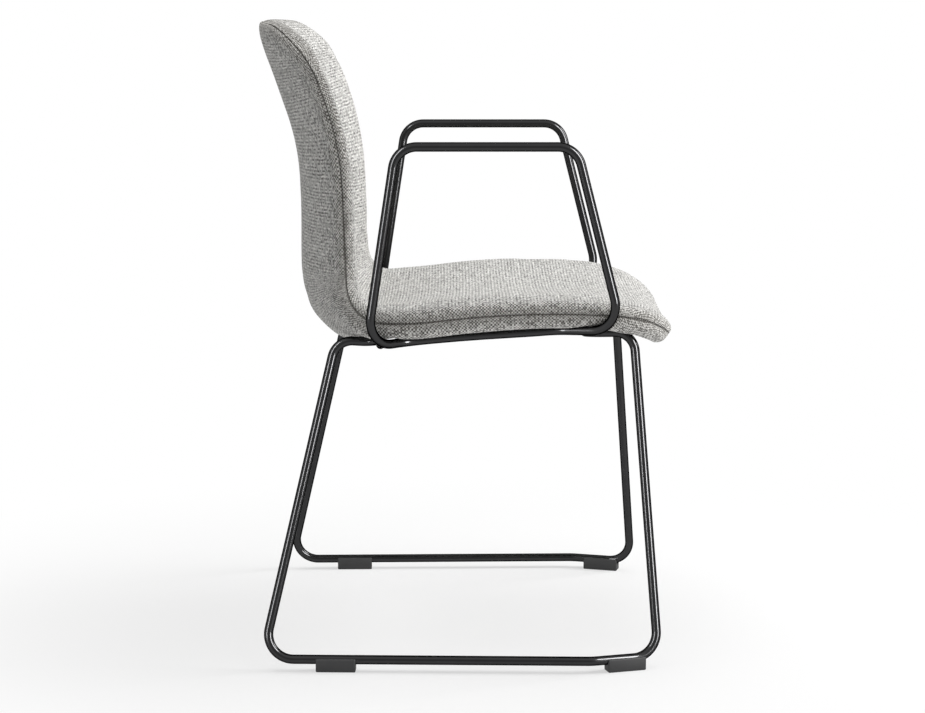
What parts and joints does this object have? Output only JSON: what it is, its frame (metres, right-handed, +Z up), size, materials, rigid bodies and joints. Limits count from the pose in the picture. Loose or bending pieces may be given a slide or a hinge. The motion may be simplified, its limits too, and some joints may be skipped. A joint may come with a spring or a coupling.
{
  "type": "dining armchair",
  "caption": "Dining armchair: a one-piece upholstered seat and back shell on a black bent-rod sled frame with closed loop armrests and block floor glides.",
  "frame": {"origin": "on the floor under the middle of the chair's plan", "axes": "+Z up, the chair faces -Y, +X to the sitter's left"},
  "size_m": [0.5806, 0.548, 0.8224],
  "materials": {
    "front_fabric": "heathered ribbed weave, matte",
    "rear_fabric": "heathered ribbed weave, matte",
    "plywood": "pressed plywood, raw",
    "sled_rod": "black satin powder coat",
    "arm_rod": "black satin powder coat",
    "bracket": "black satin powder coat",
    "fastener": "zinc plated",
    "glide": "moulded, matte"
  },
  "bodies": {
    "root": {"seat_core": "plywood", "front_upholstery": "front_fabric", "rear_upholstery": "rear_fabric", "sled_right": "sled_rod", "arm_right": "arm_rod", "sled_left": "sled_rod", "arm_left": "arm_rod", "arm_tab_right_rear": "bracket", "mounting_plate_right_rear": "bracket", "glide_right_rear": "glide", "screw_plate_right_rear": "fastener", "tee_nut_plate_right_rear": "fastener", "screw_tab_right_rear": "fastener", "tee_nut_tab_right_rear": "fastener", "arm_tab_right_front": "bracket", "mounting_plate_right_front": "bracket", "glide_right_front": "glide", "screw_plate_right_front": "fastener", "tee_nut_plate_right_front": "fastener", "screw_tab_right_front": "fastener", "tee_nut_tab_right_front": "fastener", "arm_tab_left_rear": "bracket", "mounting_plate_left_rear": "bracket", "glide_left_rear": "glide", "screw_plate_left_rear": "fastener", "tee_nut_plate_left_rear": "fastener", "screw_tab_left_rear": "fastener", "tee_nut_tab_left_rear": "fastener", "arm_tab_left_front": "bracket", "mounting_plate_left_front": "bracket", "glide_left_front": "glide", "screw_plate_left_front": "fastener", "tee_nut_plate_left_front": "fastener", "screw_tab_left_front": "fastener", "tee_nut_tab_left_front": "fastener"}
  },
  "joints": []
}
